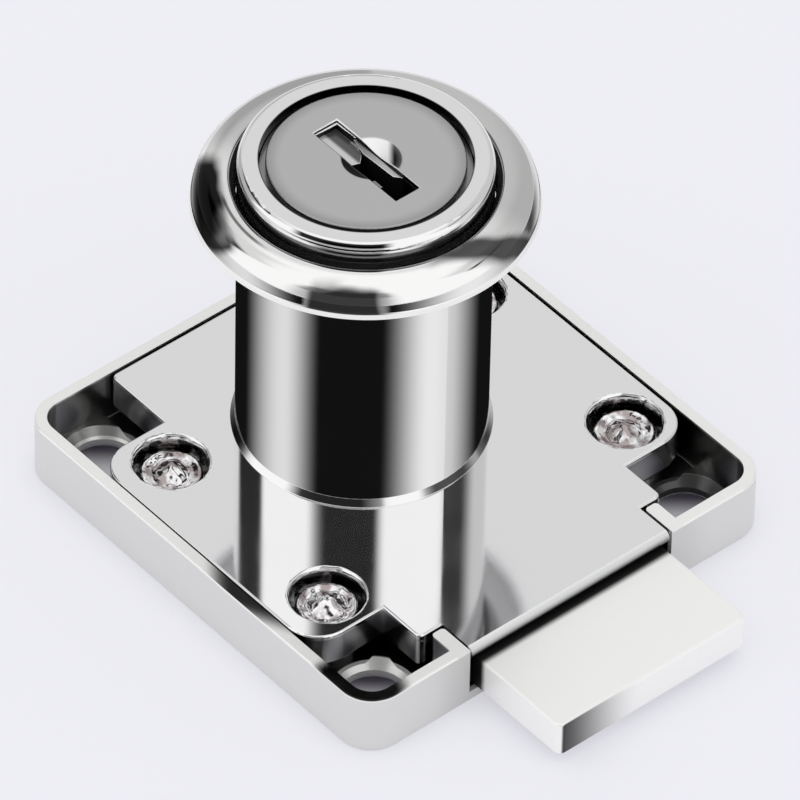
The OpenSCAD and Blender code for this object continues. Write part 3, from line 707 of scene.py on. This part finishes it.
def revolve(profile, segments, centre=(0.0, 0.0), move=None):
    """Closed solid spun from a closed profile of (radius, z); points at radius 0 become poles.

    move(point, turn, index) may shift each point.
    """
    bm = bmesh.new()
    rings = []
    for index, (r, z) in enumerate(profile):
        ring = []
        count = 1 if r == 0 else segments
        for k in range(count):
            turn = 2 * math.pi * k / segments
            point = Vector((r * math.cos(turn), r * math.sin(turn), z))
            if move:
                point = move(point, turn, index)
            ring.append(bm.verts.new((point.x + centre[0], point.y + centre[1], point.z)))
        rings.append(ring)
    pairs = list(zip(rings, rings[1:]))
    if profile[0][0] and profile[-1][0]:
        pairs.append((rings[-1], rings[0]))
    for a, b in pairs:
        for k in range(segments):
            n = (k + 1) % segments
            quad = [a[k % len(a)], a[n % len(a)], b[n % len(b)], b[k % len(b)]]
            corners = list(dict.fromkeys(quad))
            if len(corners) > 2:
                bm.faces.new(corners)
    return bm


def arc(cx, cz, r, start, end, steps):
    """Points on an arc, angles in degrees."""
    points = []
    for i in range(steps + 1):
        a = math.radians(start + (end - start) * i / steps)
        points.append((cx + r * math.cos(a), cz + r * math.sin(a)))
    return points


def curve(p0, p1, p2, p3, steps):
    """Points on a cubic curve, without its first point."""
    points = []
    for i in range(1, steps + 1):
        s = i / steps
        w = ((1 - s) ** 3, 3 * s * (1 - s) ** 2, 3 * s * s * (1 - s), s ** 3)
        points.append(tuple(sum(k * p[j] for k, p in zip(w, (p0, p1, p2, p3))) for j in (0, 1)))
    return points


def add_ring():
    """Trim ring: steep funnel, rounded crest, full shoulder and a narrow lip along its lower edge."""
    bore = BARREL_R + 0.08
    profile = [(bore, RING_Z), (bore, RING_Z + 1.55)]
    crest = (10.2, RING_Z + 2.36)
    profile += curve((bore, RING_Z + 1.55), (9.85, RING_Z + 1.75), (9.95, RING_Z + 2.3), crest, steps=10)
    profile += curve(crest, (11.7, RING_Z + 2.30), (12.62, RING_Z + 2.0), (12.84, RING_Z + 0.40), steps=20)
    profile += [(12.87, RING_Z + 0.37), (13.0, RING_Z + 0.03), (12.97, RING_Z), (12.6, RING_Z), (12.4, RING_Z + 0.12)]
    inside = (10.6, RING_Z + 1.62)
    profile += curve((12.4, RING_Z + 0.6), (12.4, RING_Z + 1.3), (11.6, RING_Z + 1.62), inside, steps=8)
    profile += [(10.18, RING_Z + 1.4), (10.18, RING_Z)]
    ring = new_piece("trim_ring_skin", revolve(profile, segments=160), "ring", CHROME_RING, sharp=50)
    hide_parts("trim_ring")


def hammered(seed, strength):
    """Move for a rivet head: dents of two sizes on the upper faces."""
    shift = Vector((seed * 7.3, seed * 3.1, seed * 1.7))

    def move(point, turn, index):
        if point.z < Z_RECESS + 0.1:
            return point
        coarse = noise.noise(point * 1.1 + shift)
        fine = noise.noise(point * 3.2 + shift * 2)
        r = math.hypot(point.x, point.y)
        lift = strength * (coarse * 0.5 + fine * 0.28) * min(1.0, r / 0.3)
        out = 1 + 0.05 * noise.noise(Vector((math.cos(turn) * 2, math.sin(turn) * 2, seed)))
        return Vector((point.x * out, point.y * out, point.z + lift))

    return move


def add_rivets():
    """Four formed rivets: flush below, crumpled head with a faceted point above."""
    top = Z_RECESS
    profile = [
        (0, Z_FLOOR), (RIVET_R, Z_FLOOR), (HEAD_R - 0.03, Z_FLOOR), (HEAD_R, Z_FLOOR + 0.03),
        (RIVET_R, Z_FLOOR + 0.8), (RIVET_R, top - 0.3), (RIVET_R, top), (HEAD_R - 0.1, top),
        (HEAD_R, top + 0.12), (HEAD_R, top + 0.4), (HEAD_R - 0.06, top + 0.58), (HEAD_R - 0.2, top + 0.66),
        (HEAD_R - 0.36, top + 0.64), (HEAD_R - 0.52, top + 0.55), (HEAD_R - 0.68, top + 0.46),
        (HEAD_R - 0.84, top + 0.42), (HEAD_R - 1.0, top + 0.46), (HEAD_R - 1.14, top + 0.56),
        (HEAD_R - 1.3, top + 0.70), (0.8, top + 0.82), (0.62, top + 0.94), (0.42, top + 1.06),
        (0.22, top + 1.16), (0, top + 1.2),
    ]
    for number, (x, y) in enumerate(RIVETS, 1):
        bm = revolve(profile, segments=64, move=hammered(number, strength=0.3))
        bmesh.ops.translate(bm, vec=(x, y, 0), verts=bm.verts)
        rivet = new_piece("rivet_%d" % number, bm, "case", RIVET, sharp=60)
        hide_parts("case_rivets")


def chipped(seed):
    """Move for a recess rim: waves and chips on its wall and its rolled edge."""
    shift = Vector((seed * 5.1, seed * 2.3, 0))

    def move(point, turn, index):
        if index < 3 or point.z < Z_RECESS + 0.3:
            return point
        wave = noise.noise(Vector((math.cos(turn) * 3.1, math.sin(turn) * 3.1, point.z * 2)) + shift)
        chip = noise.noise(Vector((math.cos(turn) * 9.0, math.sin(turn) * 9.0, point.z * 4)) + shift)
        out = 1 + (0.018 * wave + 0.012 * chip) * (1 if point.z < -0.02 else 0.5)
        rise = 0.03 * chip if point.z > -0.3 else 0.0
        return Vector((point.x * out, point.y * out, min(point.z + rise, -0.01)))

    return move


def add_recess_rims():
    """Uneven rolled edge and wall of each rivet recess."""
    profile = [
        (RECESS_R + 0.10, -0.26), (RECESS_R + 0.02, -0.3), (RECESS_R - 0.005, Z_RECESS + 0.005),
        (RECESS_R - 0.10, Z_RECESS + 0.02), (RECESS_R - 0.08, -0.9), (RECESS_R - 0.05, -0.5),
        (RECESS_R, -0.25), (RECESS_R + 0.06, -0.12), (RECESS_R + 0.13, -0.04),
        (RECESS_R + 0.19, -0.03), (RECESS_R + 0.21, -0.055), (RECESS_R + 0.17, -0.12),
    ]
    for number, (x, y) in enumerate(RIVETS, 1):
        bm = revolve(profile, segments=96, move=chipped(number))
        bmesh.ops.translate(bm, vec=(x, y, 0), verts=bm.verts)
        rim = new_piece("recess_rim_%d" % number, bm, "case", CHROME, sharp=50)


def solid_from(bm, name):
    """Object made of a bmesh, for the modifiers to work on."""
    mesh = bpy.data.meshes.new(name)
    bmesh.ops.recalc_face_normals(bm, faces=bm.faces)
    bm.to_mesh(mesh)
    bm.free()
    solid = bpy.data.objects.new(name, mesh)
    bpy.context.scene.collection.objects.link(solid)
    return solid


def box_mesh(x0, x1, y0, y1, z0, z1):
    """Box between two corners."""
    bm = bmesh.new()
    bmesh.ops.create_cube(bm, size=1.0)
    for v in bm.verts:
        v.co = Vector(((x0, x1)[v.co.x > 0], (y0, y1)[v.co.y > 0], (z0, z1)[v.co.z > 0]))
    return bm


def cut(body, cutter):
    """Takes the cutter's shape out of the body."""
    cutting = body.modifiers.new("cut", "BOOLEAN")
    cutting.operation = "DIFFERENCE"
    cutting.solver = "EXACT"
    cutting.object = cutter


def soften(body, width):
    """Rounds the body's sharp edges."""
    rounding = body.modifiers.new("soften", "BEVEL")
    rounding.width = width
    rounding.segments = 3
    rounding.limit_method = "ANGLE"
    rounding.angle_limit = math.radians(35)


def add_cap():
    """Satin cap on the plug, with softened edges round the keyhole and its dish."""
    profile = [(0, CAP_BOTTOM), (FACE_R, CAP_BOTTOM), (FACE_R, CAP_TOP - CAP_ROUND)]
    profile += arc(FACE_R - CAP_ROUND, CAP_TOP - CAP_ROUND, CAP_ROUND, start=15, end=90, steps=5)
    profile += [(0, CAP_TOP)]
    blank = revolve(profile, segments=128)
    for z in (CAP_BOTTOM, CAP_TOP):
        level = [f for f in blank.faces if all(abs(v.co.z - z) < 1e-6 for v in f.verts)]
        bmesh.ops.dissolve_faces(blank, faces=level)
    cap = solid_from(blank, "plug_cap_skin")
    hole = solid_from(
        box_mesh(-KEYHOLE_X / 2, KEYHOLE_X / 2, -KEYHOLE_Y / 2, KEYHOLE_Y / 2, CAP_BOTTOM - 1, CAP_TOP + 1), "hole"
    )
    past_edge, above = 0.3, CAP_TOP + 0.0536
    cone = [(0, CAP_TOP - DISH_DEPTH), (DISH_R + past_edge, above), (0, above)]
    dish = solid_from(revolve(cone, segments=96, centre=DISH_AT), "dish")
    cut(cap, hole)
    soften(cap, width=0.1)
    cut(cap, dish)
    depsgraph = bpy.context.evaluated_depsgraph_get()
    shaped = bpy.data.meshes.new_from_object(cap.evaluated_get(depsgraph))
    for helper in (cap, hole, dish):
        bpy.data.objects.remove(helper)
    bm = bmesh.new()
    bm.from_mesh(shaped)
    bpy.data.meshes.remove(shaped)
    piece = new_piece("plug_cap_skin", bm, "plug", SATIN, sharp=30)
    for face in piece.data.polygons:
        face.use_smooth = abs(face.normal.z) < 0.999
    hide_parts("plug_cap")


def add_wards():
    """Wards in the keyway: a raised edge at its end, a ledge on one side and a rib on the other."""
    half_x = KEYHOLE_X / 2 - 0.03
    half_y = KEYHOLE_Y / 2 - 0.01
    end_x = -half_x + 0.2
    ledge_x = end_x + 0.01
    # name, outline, and height of the top in front and at the back
    shapes = [
        ("keyway_end",
         [(-half_x, -half_y), (end_x, -half_y), (end_x, half_y - 0.14), (-2.6, half_y - 0.14), (-2.4, half_y),
          (-half_x, half_y)],
         25.76, 25.76),
        ("keyway_ledge",
         [(ledge_x, -half_y), (-0.7, -half_y), (-0.45, -0.2), (-1.1, 0.5), (-1.9, 0.9), (ledge_x, 0.93)],
         25.5, 25.3),
        ("keyway_rib",
         [(-3.2, half_y), (-1.04, 0.56), (2.27, 0.66), (2.9, half_y)],
         25.4, 25.55),
    ]
    for name, outline, top_front, top_back in shapes:
        bm = bmesh.new()
        lower = [bm.verts.new((x, y, WARD_FOOT)) for x, y in outline]
        upper = []
        for x, y in outline:
            share = (y + half_y) / (2 * half_y)
            upper.append(bm.verts.new((x, y, top_front + (top_back - top_front) * share)))
        bm.faces.new(lower)
        bm.faces.new(upper)
        for k in range(len(outline)):
            n = (k + 1) % len(outline)
            bm.faces.new((lower[k], lower[n], upper[n], upper[k]))
        rims = [e for e in bm.edges if all(v.co.z > WARD_FOOT + 1 for v in e.verts)]
        bmesh.ops.bevel(bm, geom=rims, offset=0.06, segments=3, affect="EDGES", profile=0.5)
        ward = new_piece(name, bm, "plug", WARD, sharp=40)


CHROME = finish(
    "chrome", (0.93, 0.93, 0.935), roughness=0.05,
    shade=casting_shade, rough_shade=casting_rough, metallic=casting_metallic,
)
CHROME_TRAY = finish(
    "chrome_tray", (0.95, 0.95, 0.93), roughness=0.07,
    shade=tray_shade, rough_shade=tray_rough, metallic=tray_metallic,
)
CHROME_RING = finish("chrome_ring", (0.93, 0.93, 0.925), roughness=0.06, shade=ring_shade, metallic=ring_metallic)
BOLT_CHROME = finish("bolt_chrome", (0.985, 0.985, 0.965), roughness=0.30, shade=bolt_shade, metallic=0.4)
SATIN = finish("satin_cap", (0.59, 0.59, 0.595), roughness=0.34, shade=cap_shade)
PLUG = finish("plug_metal", (0.30, 0.30, 0.30), roughness=0.20)
WARD = finish("ward_metal", (0.70, 0.70, 0.70), roughness=0.20, shade=ward_shade, metallic=0.5)
STEEL = finish("steel", (0.45, 0.45, 0.47), roughness=0.20)
RIVET = rivet_finish()

dress(["base_tray"], CHROME_TRAY)
dress(["front_casting"], CHROME)
dress(["deadbolt"], BOLT_CHROME)
dress(["cylinder_plug"], PLUG)
dress(["drive_pin", "retaining_clip"] + [name for name in nodes if name.startswith("wafer_")], STEEL)
dress(["case_rivets", "trim_ring", "plug_cap"], STEEL)

add_camera()
add_world()
add_floor()
add_screen()
add_lamp("key_lamp", bearing=-70, height=50, size=0.8, watts=1.2)
add_lamp("fill_lamp", bearing=60, height=55, size=0.8, watts=0.8)
add_ring()
add_rivets()
add_recess_rims()
add_cap()
add_wards()
bpy.context.scene.view_settings.view_transform = "Standard"
